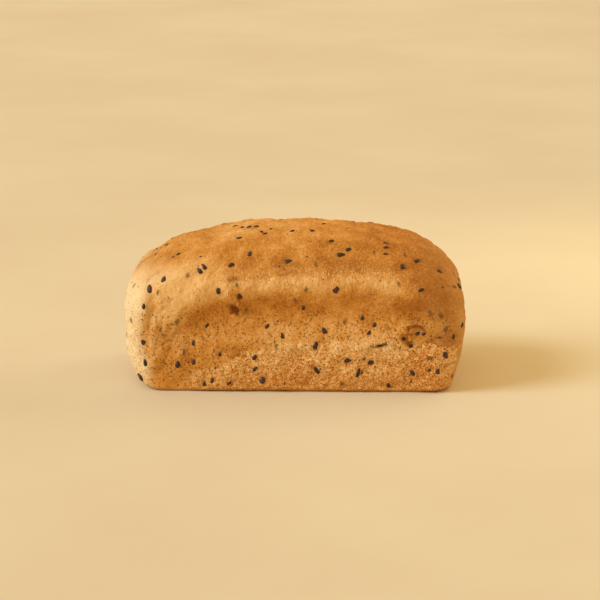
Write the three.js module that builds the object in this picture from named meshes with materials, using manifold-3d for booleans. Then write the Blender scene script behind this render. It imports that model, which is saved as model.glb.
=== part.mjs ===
// A tin loaf of buckwheat bread with dark seeds in its crust, as one solid.
// Millimetres, +Z up. X runs along the loaf, its front faces -Y, and the origin
// is the middle of the flat underside.
import * as THREE from 'three';
import { mergeVertices } from 'three/addons/utils/BufferGeometryUtils.js';
import Module from 'manifold-3d';

// Driving dimensions of the body
const loafLength = 202.5;
const loafDepth = 99;
const loafHeight = 89.5;
const crownLift = { rise: 2.2, halfLength: 40 }; // the middle of the top stands this much higher
const cornerRadius = { left: 23, right: 16 }; // of the upright corners, seen from above
const underCut = 2; // the body runs on this far below its underside, and is cut flat

// How each side goes: it leans out by lean up to its widest height, and rounds in
// above that by a curve with the exponent full; edge is the radius at its base
const leftEnd = { widest: 43, lean: 8, full: 2.35, edge: 9 };
const rightEnd = { widest: 39, lean: 7, full: 2.95, edge: 3.5 };
const longSide = { widest: 40, lean: 2.5, full: 2.6, edge: 3.5 };
const leanCurve = 1.8;
const crownRadiusShare = 0.85; // the plan gets this round towards the crown
const sideTop = 75; // the rows of the sides end here, and the top's rings start
const bodyCells = { x: 38, y: 16, z: 21 }; // the body's mesh is a box of so many cells
const rowCrowding = 1.2; // the sides' rows lie closer together towards the base

// Relief of the crust: depths and heights are measured out from the plain body
const waist = { below: 21, width: 10, depth: 3.6, from: 64, to: 96 };
const lip = { z: 67, width: 7, rise: 2.4, from: 50, to: 88 };
const lipWander = { height: 2, length: 40 };
const lipFall = { left: 21, right: 4, from: 34, to: 82 }; // the lip drops to the corners
const panel = { depth: 1.3, from: 70, to: 90, low: 4, fadeFrom: 54, fadeTo: 62 };
const crumbBand = { rise: 1.1, low: 13, high: 30, from: -60, to: 4, lump: 4.5, rough: 1.1 };
const crumbEdge = { ragged: 3, length: 9, soft: 1.5, startsWithin: 7, foot: 3 };
const dough = { lump: 19, swell: 1.1, swellOnSides: 0.6, grain: 8, roughness: 0.55, foot: 6 };
const cornerFold = { x: -83, sway: 2.5, low: 25, high: 59, fade: 5, halfWidth: 3, depth: 2.2 };
const endDent = { // each end is pressed in a little at its own height
  left: { z: 40, width: 18, depth: 2.4 },
  right: { z: 68, width: 13, depth: 1.2 },
};
const boxMiddle = 1.1; // the pressed ends leave the middle of the box this far along X
const topFold = { x: -60, y: -8, halfLength: 26, halfWidth: 3.5, depth: 1.1, turn: 0.5 };

// Hollows cut out of the front, each an ellipsoid centred on its surface
const hollows = [
  { name: 'pit under the lip', x: -33.5, z: 51, across: 6, up: 8, deep: 7, turn: 0.3 },
  { name: 'crease under the crown', x: -33, z: 68.5, across: 8, up: 1.8, deep: 4, turn: 0.15 },
  { name: 'tear', x: 73, z: 36.5, across: 12, up: 7, deep: 8, turn: 0.2 },
  { name: 'left end of the tear', x: 66, z: 33.5, across: 6, up: 5, deep: 5, turn: 0.6 },
  { name: 'foot of the tear', x: 69, z: 29.5, across: 8, up: 4, deep: 5, turn: 0.7 },
  { name: 'crack', x: 52, z: 29.5, across: 11, up: 2, deep: 4, turn: 0.1 },
];

const hollowMesh = { sides: 9, rings: 6 };

// Seeds. A kernel is a flattened drop that lies in the crust, half sunk.
const kernel = { length: 4.4, width: 2.7, thickness: 2, proud: 0.75, taper: 0.35 };
const kernelMesh = { sides: 6, rings: 3 };
const kernelSizes = { least: 0.8, most: 1.15 }; // shares of its size, for those set by chance
const eye = new THREE.Vector3(26, -1261, 359.5); // the seeds named below are seen from here
// Each is [x, z, length, turn]: the place is where it shows against the upright
// plane of the front, and the turn is from upright, clockwise, in degrees.
const frontSeeds = [
  [-82, 62.5, 5.2, -20], [-74, 68.5, 4.8, -10], [-53, 73.5, 4.6, -35], [-50.5, 76, 4.4, -35],
  [-35, 77, 4.6, 70], [-24, 83.5, 3.6, 20], [-1.5, 79.5, 4.6, 80], [-42, 61, 4.8, -8],
  [-30, 58.5, 4.6, -12], [-85.5, 52, 3.4, 0], [-86.5, 30.5, 3.6, -25], [-85.5, 18, 4.6, -10],
  [-88.5, 9.5, 5.4, -40], [-66.5, 17.5, 4.8, 0], [-57, 18.5, 3.8, 5], [-57, 30, 3.6, 0],
  [-49, 40.5, 4, 20], [-42, 23, 3.6, 30], [-36.5, 6, 3.8, 60], [-21.5, 22, 4, 20],
  [-21.5, 14.5, 4, 50], [-17, 7.5, 5, 10], [-14, 40.5, 3.4, 40], [-5.5, 35, 4, -20],
  [33, 86.5, 4.8, 70], [28.5, 83.5, 4.8, 80], [54.5, 90.5, 3.6, 80], [54.5, 88, 3.6, 85],
  [54.5, 84, 3.8, 85], [64, 76.5, 4.6, 30], [72.5, 80, 4.2, 80], [85.5, 74, 4, -65],
  [75, 62.5, 3.8, 70], [26, 62.5, 5, 25], [19, 38, 4, -25], [14, 29, 5, 10],
  [41, 46, 3.2, 0], [33, 20, 4.6, 80], [46.5, 19, 4.4, 80], [38.5, 12, 6, 25],
  [15, 13.5, 5, -45], [70.5, 13, 4.4, -35], [85.5, 13.5, 4.2, -20], [89.5, 23.5, 4.6, -15],
  [94, 35, 3.4, 0], [57, 5.5, 3.6, 10], [48, 41.5, 3.4, 40], [45, 37, 3.2, 40],
  [-77.5, 86.5, 4, 60], [-72, 89, 3.4, 60], [-65.5, 83.5, 3.4, 60], [-32, 100.2, 4, 85],
  [-15.5, 96, 3.8, 60], [-30, 93, 3.8, 75], [18.5, 101.8, 4.2, 85], [23, 91.5, 3.6, 70],
];
// The rest of the crust takes seeds by chance: shares of them go to ends and back
const scatter = { seed: 2026, most: 64, tries: 1200, spacing: 11, ends: 0.3, back: 0.36 };
const scatterReach = { lowest: 6, highest: 66, front: 12, frontHalf: 92, share: 0.9 };

// Plain helpers
const clamp = (value, low, high) => Math.min(high, Math.max(low, value));
const mix = (a, b, share) => a + (b - a) * share;
const bell = (distance, width) => Math.exp(-((distance / width) ** 2));

function smooth(from, to, value) {
  const share = clamp((value - from) / (to - from), 0, 1);
  return share * share * (3 - 2 * share);
}

// A number from 0 to 1 that belongs to a whole-numbered point
function latticeValue(i, j, k) {
  let bits = Math.imul(i, 374761393) ^ Math.imul(j, 668265263) ^ Math.imul(k, 2147483647);
  bits = Math.imul(bits ^ (bits >>> 13), 1274126177);
  bits ^= bits >>> 16;
  return (bits >>> 0) / 4294967296;
}

// Soft lumps of about the given size, from -1 to 1
function lumps(x, y, z, size) {
  const at = [x / size, y / size, z / size];
  const cell = at.map(Math.floor);
  const part = at.map((value, axis) => smooth(0, 1, value - cell[axis]));
  let sum = 0;
  for (let corner = 0; corner < 8; corner += 1) {
    const step = [corner & 1, (corner >> 1) & 1, corner >> 2];
    const weight = step.reduce((all, s, axis) => all * (s ? part[axis] : 1 - part[axis]), 1);
    sum += weight * latticeValue(cell[0] + step[0], cell[1] + step[1], cell[2] + step[2]);
  }
  return 2 * sum - 1;
}

function randomNumbers(seed) {
  let state = seed >>> 0;
  return () => {
    state = (state + 0x6d2b79f5) >>> 0;
    let bits = Math.imul(state ^ (state >>> 15), state | 1);
    bits ^= bits + Math.imul(bits ^ (bits >>> 7), bits | 61);
    return ((bits ^ (bits >>> 14)) >>> 0) / 4294967296;
  };
}

// A shape whose corners are shared, with nothing but its positions
function positionsOnly(geometry) {
  geometry.deleteAttribute('normal');
  geometry.deleteAttribute('uv');
  return mergeVertices(geometry);
}

// A point of a rounded rectangle, for a point (u, v) on the edge of a square of
// half side 1, with the way out from it
function roundedPlan(u, v, halfX, halfY, radius) {
  const nearX = clamp(u * halfX, radius - halfX, halfX - radius);
  const nearY = clamp(v * halfY, radius - halfY, halfY - radius);
  const out = new THREE.Vector2(u * halfX - nearX, v * halfY - nearY).normalize();
  return { x: nearX + out.x * radius, y: nearY + out.y * radius, out };
}

// One of the side values for a way out in plan
function sideValue(name, out) {
  const end = out.x < 0 ? leftEnd : rightEnd;
  return mix(longSide[name], end[name], out.x * out.x);
}

// The plain body: (u, v, w) is a point on a cube of half side 1
function plainPoint(u, v, w) {
  const ring = Math.max(Math.abs(u), Math.abs(v));
  const edgeU = ring > 0 ? u / ring : 0;
  const edgeV = ring > 0 ? v / ring : 1;
  const corner = u < 0 ? cornerRadius.left : cornerRadius.right;
  const way = roundedPlan(edgeU, edgeV, loafLength / 2, loafDepth / 2, corner).out;
  const widest = sideValue('widest', way);
  const power = sideValue('full', way);
  const crown = loafHeight - widest;
  let z = mix(-underCut, sideTop, ((w + 1) / 2) ** rowCrowding);
  let rise = clamp((z - widest) / crown, 0, 1);
  let share = (1 - rise ** power) ** (1 / power);
  if (w >= 1) {
    share *= ring;
    rise = (1 - share ** power) ** (1 / power);
    z = widest + crown * rise;
  }
  const lean = sideValue('lean', way) * clamp(1 - z / widest, 0, 1) ** leanCurve;
  const edge = sideValue('edge', way);
  const curl = clamp(edge - z, 0, edge);
  const inset = lean + edge - Math.sqrt(edge ** 2 - curl ** 2);
  let halfX = (loafLength / 2) * share - inset;
  let halfY = (loafDepth / 2) * share - inset;
  if (w <= -1) {
    halfX *= ring;
    halfY *= ring;
  }
  const small = Math.min(halfX, halfY);
  const radius = Math.min(mix(corner, small * crownRadiusShare, smooth(0, 1, rise)), small);
  const plan = roundedPlan(edgeU, edgeV, halfX, halfY, radius);
  const reach = mix(loafDepth / 2, loafLength / 2, way.x * way.x);
  const flat = share ** (power - 1) / reach;
  const up = rise ** (power - 1) / crown;
  const normal = new THREE.Vector3(plan.out.x * flat, plan.out.y * flat, up).normalize();
  return { point: new THREE.Vector3(plan.x, plan.y, z), normal };
}

// How far the crust stands out from the plain body, or sinks in
function relief(point, normal) {
  const { x, y, z } = point;
  const acrossX = Math.abs(x);
  const facing = normal.y ** 2;
  const fall = (x < 0 ? lipFall.left : lipFall.right) * smooth(lipFall.from, lipFall.to, acrossX);
  const lipZ = lip.z - fall + lipWander.height * lumps(x, y, 0, lipWander.length);
  let out = crownLift.rise * bell(x, crownLift.halfLength) * normal.z ** 2;
  out -= waist.depth * bell(z - lipZ + waist.below, waist.width) * facing
    * (1 - smooth(waist.from, waist.to, acrossX));
  out += lip.rise * bell(z - lipZ, lip.width) * Math.sqrt(facing)
    * (1 - smooth(lip.from, lip.to, acrossX));
  out -= panel.depth * facing * (1 - smooth(panel.from, panel.to, acrossX))
    * smooth(0, panel.low, z) * (1 - smooth(panel.fadeFrom, panel.fadeTo, z));

  const pressed = x < 0 ? endDent.left : endDent.right;
  out -= pressed.depth * bell(z - pressed.z, pressed.width) * normal.x ** 2;

  // The torn crumb low on both long sides starts further up to one end
  const mirrored = y < 0 ? x : -x;
  const bandTop = mix(crumbBand.low, crumbBand.high,
    smooth(crumbBand.from, crumbBand.to, mirrored))
    + crumbEdge.ragged * lumps(x, y, 0, crumbEdge.length);
  const within = crumbEdge.startsWithin;
  const inBand = facing * (1 - smooth(bandTop - crumbEdge.soft, bandTop + crumbEdge.soft, z))
    * smooth(crumbBand.from - within, crumbBand.from + within, mirrored)
    * smooth(0, crumbEdge.foot, z);
  out += inBand * (crumbBand.rise + crumbBand.rough * lumps(x, y, z, crumbBand.lump));

  // Folds: one up the left front corner, one across the left of the top
  const foldX = cornerFold.x + cornerFold.sway * Math.sin(z / 7);
  out -= cornerFold.depth * (y < 0 ? facing : 0) * bell(x - foldX, cornerFold.halfWidth)
    * smooth(cornerFold.low - cornerFold.fade, cornerFold.low + cornerFold.fade, z)
    * (1 - smooth(cornerFold.high - cornerFold.fade, cornerFold.high + cornerFold.fade, z));
  const fold = new THREE.Vector2(x - topFold.x, y - topFold.y)
    .rotateAround(new THREE.Vector2(), -topFold.turn);
  out -= topFold.depth * normal.z ** 2 * bell(fold.y, topFold.halfWidth)
    * bell(fold.x, topFold.halfLength);

  const swell = dough.swell * mix(dough.swellOnSides, 1, normal.z ** 2);
  const dent = swell * lumps(x + 50, y, z, dough.lump)
    + dough.roughness * lumps(x, y + 50, z, dough.grain);
  return out + dent * smooth(0, dough.foot, z);
}

// The body as a closed mesh: a box with its vertices moved to the loaf's surface
function bodyGeometry(cellsX, cellsY, cellsZ) {
  const crustShape = positionsOnly(new THREE.BoxGeometry(2, 2, 2, cellsX, cellsY, cellsZ));
  const places = crustShape.getAttribute('position');
  for (let i = 0; i < places.count; i += 1) {
    const w = places.getZ(i);
    const { point, normal } = plainPoint(places.getX(i), places.getY(i), w);
    if (w > -1) {
      point.addScaledVector(normal, relief(point, normal));
    }
    places.setXYZ(i, point.x, point.y, point.z);
  }
  return crustShape;
}

// A flattened drop, along Z, of length, width and thickness 1
function kernelGeometry() {
  const drop = new THREE.SphereGeometry(0.5, kernelMesh.sides, kernelMesh.rings);
  const merged = positionsOnly(drop.rotateX(Math.PI / 2));
  const places = merged.getAttribute('position');
  for (let i = 0; i < places.count; i += 1) {
    places.setX(i, places.getX(i) * (1 - kernel.taper * (places.getZ(i) + 0.5)));
  }
  return merged;
}

const wasm = await Module();
wasm.setup();

function toSolid(geometry) {
  return new wasm.Manifold(new wasm.Mesh({
    numProp: 3,
    vertProperties: new Float32Array(geometry.getAttribute('position').array),
    triVerts: new Uint32Array(geometry.index.array),
  }));
}

function toGeometry(solid) {
  const result = solid.getMesh();
  const geometry = new THREE.BufferGeometry();
  geometry.setAttribute('position', new THREE.BufferAttribute(result.vertProperties, 3));
  geometry.setIndex(new THREE.BufferAttribute(result.triVerts, 1));
  return geometry;
}

const nearlyLevel = 0.9; // a face whose normal rises more than this has no way up of its own

// A copy of a small shape, laid on the surface at a hit: its Z runs up the
// surface, its Y out of it, and turn swings it clockwise as seen from outside
function laidOn(geometry, hit, scale, turn, sink) {
  const out = hit.face.normal.clone();
  const up = new THREE.Vector3(0, 0, 1);
  if (Math.abs(out.z) > nearlyLevel) {
    up.set(0, 1, 0);
  }
  up.addScaledVector(out, -up.dot(out)).normalize();
  up.applyAxisAngle(out, -turn);
  const across = new THREE.Vector3().crossVectors(out, up);
  const place = hit.point.clone().addScaledVector(out, -sink);
  const matrix = new THREE.Matrix4().makeBasis(across, out, up).setPosition(place);
  matrix.scale(scale);
  return geometry.clone().applyMatrix4(matrix);
}

const body = bodyGeometry(bodyCells.x, bodyCells.y, bodyCells.z);
const target = new THREE.Mesh(body);
const caster = new THREE.Raycaster();

function surfaceHit(origin, direction) {
  caster.set(origin, direction.clone().normalize());
  return caster.intersectObject(target)[0];
}

function frontHit(x, z) {
  const shown = new THREE.Vector3(x, -loafDepth / 2, z);
  return surfaceHit(eye, shown.sub(eye));
}

// Seeds: the ones that the front shows, then a scatter over the whole crust
const kernels = [];
const kernelShape = kernelGeometry();

function addKernel(hit, length, turn) {
  const size = length / kernel.length;
  const scale = new THREE.Vector3(kernel.width * size, kernel.thickness * size, length);
  const sink = kernel.thickness * size * 0.5 - kernel.proud;
  kernels.push({ place: hit.point, geometry: laidOn(kernelShape, hit, scale, turn, sink) });
}

for (const [x, z, length, turn] of frontSeeds) {
  addKernel(frontHit(x, z), length, THREE.MathUtils.degToRad(turn));
}

// Each try looks straight at an end, the back or the top. The front has its own.
const random = randomNumbers(scatter.seed);
const mostKernels = frontSeeds.length + scatter.most;
for (let tried = 0; tried < scatter.tries && kernels.length < mostKernels; tried += 1) {
  const face = random();
  const along = (random() - 0.5) * loafLength * scatterReach.share;
  const across = (random() - 0.5) * loafDepth * scatterReach.share;
  const up = mix(scatterReach.lowest, scatterReach.highest, random());
  const length = kernel.length * mix(kernelSizes.least, kernelSizes.most, random());
  const turn = random() * Math.PI;
  const way = new THREE.Vector3(0, 0, -1);
  const from = new THREE.Vector3(along, across, loafLength);
  if (face < scatter.ends) {
    way.set(along > 0 ? -1 : 1, 0, 0);
    from.set(-way.x * loafLength, across, up);
  } else if (face < scatter.ends + scatter.back) {
    way.set(0, -1, 0);
    from.set(along, loafLength, up);
  }
  const hit = surfaceHit(from, way);
  const place = hit.point;
  const crowded = kernels.some((seed) => seed.place.distanceTo(place) < scatter.spacing);
  const inFront = place.y < scatterReach.front && Math.abs(place.x) < scatterReach.frontHalf;
  if (!crowded && !inFront) {
    addKernel(hit, length, turn);
  }
}

// Cut the underside flat and the hollows out, then fuse the seeds
const under = new THREE.BoxGeometry(loafLength * 2, loafDepth * 2, underCut * 4);
let loaf = toSolid(body).subtract(toSolid(positionsOnly(under.translate(0, 0, -underCut * 2))));
const ball = new THREE.SphereGeometry(0.5, hollowMesh.sides, hollowMesh.rings);
const hollowShape = positionsOnly(ball.rotateX(Math.PI / 2));
for (const hollow of hollows) {
  const scale = new THREE.Vector3(hollow.across, hollow.deep, hollow.up);
  const cutter = laidOn(hollowShape, frontHit(hollow.x, hollow.z), scale, hollow.turn, 0);
  loaf = loaf.subtract(toSolid(cutter));
}
for (const seed of kernels) {
  loaf = loaf.add(toSolid(seed.geometry));
}

const crust = new THREE.MeshStandardMaterial({ color: '#c98f4e', roughness: 0.85, metalness: 0 });
const mesh = new THREE.Mesh(toGeometry(loaf), crust);
mesh.name = 'loaf';
mesh.position.x = -boxMiddle;

const group = new THREE.Group();
group.add(mesh);

export default group;
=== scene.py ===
import math
from functools import lru_cache

import bmesh
import bpy
from mathutils import Matrix, Vector, noise
from mathutils.bvhtree import BVHTree
from mathutils.kdtree import KDTree


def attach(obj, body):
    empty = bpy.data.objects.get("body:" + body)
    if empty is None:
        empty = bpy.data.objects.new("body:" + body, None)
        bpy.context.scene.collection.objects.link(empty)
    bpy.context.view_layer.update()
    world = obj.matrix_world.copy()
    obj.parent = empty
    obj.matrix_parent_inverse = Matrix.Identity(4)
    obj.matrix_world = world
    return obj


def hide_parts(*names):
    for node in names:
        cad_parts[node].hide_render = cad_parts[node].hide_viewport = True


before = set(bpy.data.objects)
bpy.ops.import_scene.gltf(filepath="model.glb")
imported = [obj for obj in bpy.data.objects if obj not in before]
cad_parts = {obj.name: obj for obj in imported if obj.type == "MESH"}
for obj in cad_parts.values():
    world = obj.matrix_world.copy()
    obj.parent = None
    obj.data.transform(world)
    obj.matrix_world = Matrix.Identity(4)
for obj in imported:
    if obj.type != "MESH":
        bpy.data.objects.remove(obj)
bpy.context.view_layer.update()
mm = 0.001
cubeEnd = 0.99999  # past this height a cube's point is on its top, and below its negative under it

# The plain body, in millimetres
body = {
    "length": 202.5, "depth": 99.0, "height": 89.5,
    "crownRise": 2.2, "crownHalfLength": 40.0,
    "cornerLeft": 23.0, "cornerRight": 16.0,
    "underCut": 2.0,  # the rule runs on this far below the underside
    "leanCurve": 1.8, "crownRadiusShare": 0.85, "sideTop": 75.0, "rowCrowding": 1.2,
    "plainCells": (38, 16, 21), "fineCells": (226, 98, 100),
}
# Each side leans out up to its widest height and rounds in above it
leftEnd = {"widest": 43.0, "lean": 8.0, "full": 2.35, "edge": 9.0}
rightEnd = {"widest": 39.0, "lean": 7.0, "full": 2.95, "edge": 3.5}
longSide = {"widest": 40.0, "lean": 2.5, "full": 2.6, "edge": 3.5}

# Broad relief, out from the plain body
waist = {"below": 21.0, "width": 10.0, "depth": 3.6, "start": 64.0, "end": 96.0}
lip = {"z": 67.0, "width": 7.0, "rise": 2.4, "start": 50.0, "end": 88.0,
       "wander": 2.0, "wanderLength": 40.0}
lipFall = {"left": 21.0, "right": 4.0, "start": 34.0, "end": 82.0}
panel = {"depth": 1.3, "start": 70.0, "end": 90.0, "low": 4.0, "fadeStart": 54.0, "fadeEnd": 62.0}
crumbBand = {"rise": 1.1, "low": 13.0, "high": 30.0, "start": -60.0, "end": 4.0,
             "lump": 4.5, "rough": 1.1, "ragged": 3.0, "raggedLength": 9.0, "soft": 1.5,
             "startsWithin": 7.0, "foot": 3.0}
dough = {"lump": 19.0, "swell": 1.1, "swellOnSides": 0.6, "grain": 8.0, "roughness": 0.55,
         "foot": 6.0, "apart": 50.0}
cornerFold = {"x": -83.0, "sway": 2.5, "swayHeight": 7.0, "low": 25.0, "high": 59.0, "fade": 5.0,
              "halfWidth": 3.0, "depth": 2.2}
# Each end is pressed in a little at its own height, which moves the middle of the box
leftPress = {"z": 40.0, "width": 18.0, "depth": 2.4}
rightPress = {"z": 68.0, "width": 13.0, "depth": 1.2}
boxMiddle = 1.1
topFold = {"x": -60.0, "y": -8.0, "halfLength": 26.0, "halfWidth": 3.5, "depth": 1.1, "turn": 0.5}

# Hollows in the front: [x, z, across, up, deep, turn, painted shade inside]
hollows = {
    "pit": [-32.6, 50.2, 5.0, 8.0, 6.5, -0.7, 0.9],
    "crease": [-33.0, 68.5, 9.0, 1.6, 2.4, -0.2, 0.1],
    "tear": [73.0, 36.5, 12.0, 7.0, 4.0, 0.2, 0.0],
    "tearEnd": [66.0, 33.5, 6.0, 5.0, 4.5, 0.6, 0.35],
    "tearFoot": [69.0, 29.5, 8.0, 4.0, 5.0, 0.7, 0.45],
    "crack": [53.0, 29.2, 9.0, 1.8, 3.0, -0.1, 0.9],
}
hollowEdge = {"rim": 0.5, "rimAt": 1.2, "rimWidth": 0.2, "reach": 1.55, "shadeAt": 0.6,
              "wobble": 0.3, "wobbleGrain": 0.4, "wobbleField": 3.0, "fineWobble": 0.25,
              "fineField": 7.0}

# Fine grooves of the front: [half width, depth, points (x, z)]
grooves = [
    [1.0, 0.55, [(-81, 58.5), (-83.5, 51), (-83.5, 42), (-81, 33), (-80, 26), (-81, 21)]],
    [0.9, 0.6, [(-70.5, 55), (-74.5, 51), (-77.5, 46), (-79, 39)]],
    [0.8, 0.6, [(-74.5, 42), (-78, 34), (-79, 28.5)]],
    [0.9, 0.6, [(-77.5, 52), (-73, 55.5), (-67, 57)]],
    [0.8, 0.6, [(-73, 33), (-75.5, 27)]],
    [0.7, 0.8, [(51, 36.5), (55, 38.5), (59, 39.5)]],
    [0.7, 1.1, [(-38, 66.2), (-34.5, 66.9), (-31.5, 68.2), (-28.5, 69)]],
    [0.8, 0.6, [(54.5, 66.5), (57, 67.5), (59, 70.5)]],
    [0.7, 0.8, [(89, 18), (92, 18.5), (95, 20)]],
    [0.7, 0.6, [(60, 28.5), (64, 27), (68, 27)]],
    [1.2, 0.7, [(-93, 73.5), (-85, 80), (-73.5, 87)]],
    [1.0, 0.8, [(-53.5, 91.5), (-49, 93.5), (-45, 93.5)]],
    [0.7, 0.9, [(-38, 68), (-33, 69.5), (-27, 70.5)]],
    [0.8, 0.9, [(-30, 98), (-24, 99.2), (-17, 99.8)]],
    [0.8, 0.4, [(-88, 66), (-82, 70), (-74, 74.5)]],
    [0.7, 1.8, [(66.5, 37), (68.5, 40), (72.5, 40.8), (76.5, 39.8), (80, 36.5)]],
    [0.55, 1.1, [(43.5, 27), (46.5, 28.4), (50, 28.2), (54, 29.8), (59, 29.6)]],
    [1.0, 0.3, [(-29, 68.5), (-15, 70.3), (0, 72), (16, 72.8)]],
    # Ridges, with a depth below 0: the flap beside the pit and the curled edge over the tear
    [1.9, -2.3, [(-38, 62.5), (-36, 59.5), (-33.8, 56.5), (-31.5, 53.5), (-29.6, 50)]],
    [0.9, -1.3, [(65.5, 39.5), (68, 42), (72, 42.8), (76, 42), (79.5, 39)]],
]
grooveEdge = {"reach": 2.5, "ends": 0.25, "sway": 1.6, "swaySize": 5.0, "swayField": 11.0}

# Seeds: each is [x, z, length, turn], seen from the eye against the front's upright plane
kernel = {"length": 4.4, "width": 2.7, "thickness": 2.0, "proud": 0.75, "taper": 0.35,
          "least": 0.8, "most": 1.15}
eye = Vector((26.0, -1261.0, 359.5))
frontSeeds = [
    [-82, 62.5, 5.2, -20], [-74, 68.5, 4.8, -10], [-53, 73.5, 4.6, -35], [-50.5, 76, 4.4, -35],
    [-35, 77, 4.6, 70], [-24, 83.5, 3.6, 20], [-1.5, 79.5, 4.6, 80], [-42, 61, 4.8, -8],
    [-30, 58.5, 4.6, -12], [-85.5, 52, 3.4, 0], [-86.5, 30.5, 3.6, -25], [-85.5, 18, 4.6, -10],
    [-88.5, 9.5, 5.4, -40], [-66.5, 17.5, 4.8, 0], [-57, 18.5, 3.8, 5], [-57, 30, 3.6, 0],
    [-49, 40.5, 4, 20], [-42, 23, 3.6, 30], [-36.5, 6, 3.8, 60], [-21.5, 22, 4, 20],
    [-21.5, 14.5, 4, 50], [-17, 7.5, 5, 10], [-14, 40.5, 3.4, 40], [-5.5, 35, 4, -20],
    [33, 86.5, 4.8, 70], [28.5, 83.5, 4.8, 80], [54.5, 90.5, 3.6, 80], [54.5, 88, 3.6, 85],
    [54.5, 84, 3.8, 85], [64, 76.5, 4.6, 30], [72.5, 80, 4.2, 80], [85.5, 74, 4, -65],
    [75, 62.5, 3.8, 70], [26, 62.5, 5, 25], [19, 38, 4, -25], [14, 29, 5, 10],
    [41, 46, 3.2, 0], [33, 20, 4.6, 80], [46.5, 19, 4.4, 80], [38.5, 12, 6, 25],
    [15, 13.5, 5, -45], [70.5, 13, 4.4, -35], [85.5, 13.5, 4.2, -20], [89.5, 23.5, 4.6, -15],
    [94, 35, 3.4, 0], [57, 5.5, 3.6, 10], [48, 41.5, 3.4, 40], [45, 37, 3.2, 40],
    [-77.5, 86.5, 4, 60], [-72, 89, 3.4, 60], [-65.5, 83.5, 3.4, 60], [-32, 100.2, 4, 85],
    [-15.5, 96, 3.8, 60], [-30, 93, 3.8, 75], [18.5, 101.8, 4.2, 85], [23, 91.5, 3.6, 70],
]
scatter = {"seed": 2026, "most": 64, "tries": 1200, "spacing": 11.0, "ends": 0.3, "back": 0.36,
           "lowest": 6.0, "highest": 66.0, "front": 12.0, "frontHalf": 92.0, "share": 0.9}


# Plain helpers
def clamp(value, low, high):
    return min(high, max(low, value))


def mix(a, b, share):
    return a + (b - a) * share


def bell(distance, width):
    return math.exp(-((distance / width) ** 2))


def smooth(start, end, value):
    share = clamp((value - start) / (end - start), 0.0, 1.0)
    return share * share * (3 - 2 * share)


# Odd factors that scatter the bits of whole numbers, for X, Y, Z and what they give together
scramble = {"x": 374761393, "y": 668265263, "z": 2147483647, "all": 1274126177}
drawStep = 0x6D2B79F5
whole32 = 2 ** 32


def times32(a, b):
    return (a * b) % whole32


@lru_cache(maxsize=None)
def latticeValue(i, j, k):
    # A number from 0 to 1 that belongs to a whole-numbered point
    bits = times32(i, scramble["x"]) ^ times32(j, scramble["y"]) ^ times32(k, scramble["z"])
    bits = times32(bits ^ (bits >> 13), scramble["all"])
    return (bits ^ (bits >> 16)) / whole32


def lumps(x, y, z, size):
    # Soft lumps of about the given size, from -1 to 1
    i = math.floor(x / size)
    j = math.floor(y / size)
    k = math.floor(z / size)
    a = smooth(0, 1, x / size - i)
    b = smooth(0, 1, y / size - j)
    c = smooth(0, 1, z / size - k)
    total = 0.0
    for di in (0, 1):
        for dj in (0, 1):
            for dk in (0, 1):
                weight = (a if di else 1 - a) * (b if dj else 1 - b) * (c if dk else 1 - c)
                total += weight * latticeValue(i + di, j + dj, k + dk)
    return 2 * total - 1


class Draw:
    # Random numbers that any language can repeat
    def __init__(self, seed):
        self.state = seed

    def next(self):
        self.state = (self.state + drawStep) % whole32
        bits = times32(self.state ^ (self.state >> 15), self.state | 1)
        bits ^= (bits + times32(bits ^ (bits >> 7), bits | 61)) % whole32
        return (bits ^ (bits >> 14)) / whole32

    def between(self, low, high):
        return mix(low, high, self.next())


# The plain body
def roundedPlan(u, v, halfX, halfY, radius):
    # A point of a rounded rectangle, with the way out from it
    nearX = clamp(u * halfX, radius - halfX, halfX - radius)
    nearY = clamp(v * halfY, radius - halfY, halfY - radius)
    out = Vector((u * halfX - nearX, v * halfY - nearY)).normalized()
    return nearX + out.x * radius, nearY + out.y * radius, out


def sideValue(name, out):
    end = leftEnd if out.x < 0 else rightEnd
    return mix(longSide[name], end[name], out.x * out.x)


def plainPoint(u, v, w):
    # (u, v, w) is a point on a cube of half side 1
    ring = max(abs(u), abs(v))
    edgeU = u / ring if ring > 0 else 0.0
    edgeV = v / ring if ring > 0 else 1.0
    halfLength = body["length"] / 2
    halfDepth = body["depth"] / 2
    corner = body["cornerLeft"] if u < 0 else body["cornerRight"]
    way = roundedPlan(edgeU, edgeV, halfLength, halfDepth, corner)[2]
    widest = sideValue("widest", way)
    power = sideValue("full", way)
    crown = body["height"] - widest
    z = mix(-body["underCut"], body["sideTop"], clamp((w + 1) / 2, 0, 1) ** body["rowCrowding"])
    rise = clamp((z - widest) / crown, 0, 1)
    share = (1 - rise ** power) ** (1 / power)
    if w > cubeEnd:
        share *= ring
        rise = (1 - share ** power) ** (1 / power)
        z = widest + crown * rise
    lean = sideValue("lean", way) * clamp(1 - z / widest, 0, 1) ** body["leanCurve"]
    edge = sideValue("edge", way)
    curl = clamp(edge - z, 0, edge)
    inset = lean + edge - math.sqrt(edge ** 2 - curl ** 2)
    halfX = halfLength * share - inset
    halfY = halfDepth * share - inset
    if w < -cubeEnd:
        halfX *= ring
        halfY *= ring
    small = min(halfX, halfY)
    radius = min(mix(corner, small * body["crownRadiusShare"], smooth(0, 1, rise)), small)
    x, y, out = roundedPlan(edgeU, edgeV, halfX, halfY, radius)
    reach = mix(halfDepth, halfLength, way.x * way.x)
    flat = share ** (power - 1) / reach
    normal = Vector((out.x * flat, out.y * flat, rise ** (power - 1) / crown)).normalized()
    return Vector((x, y, z)), normal


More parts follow.
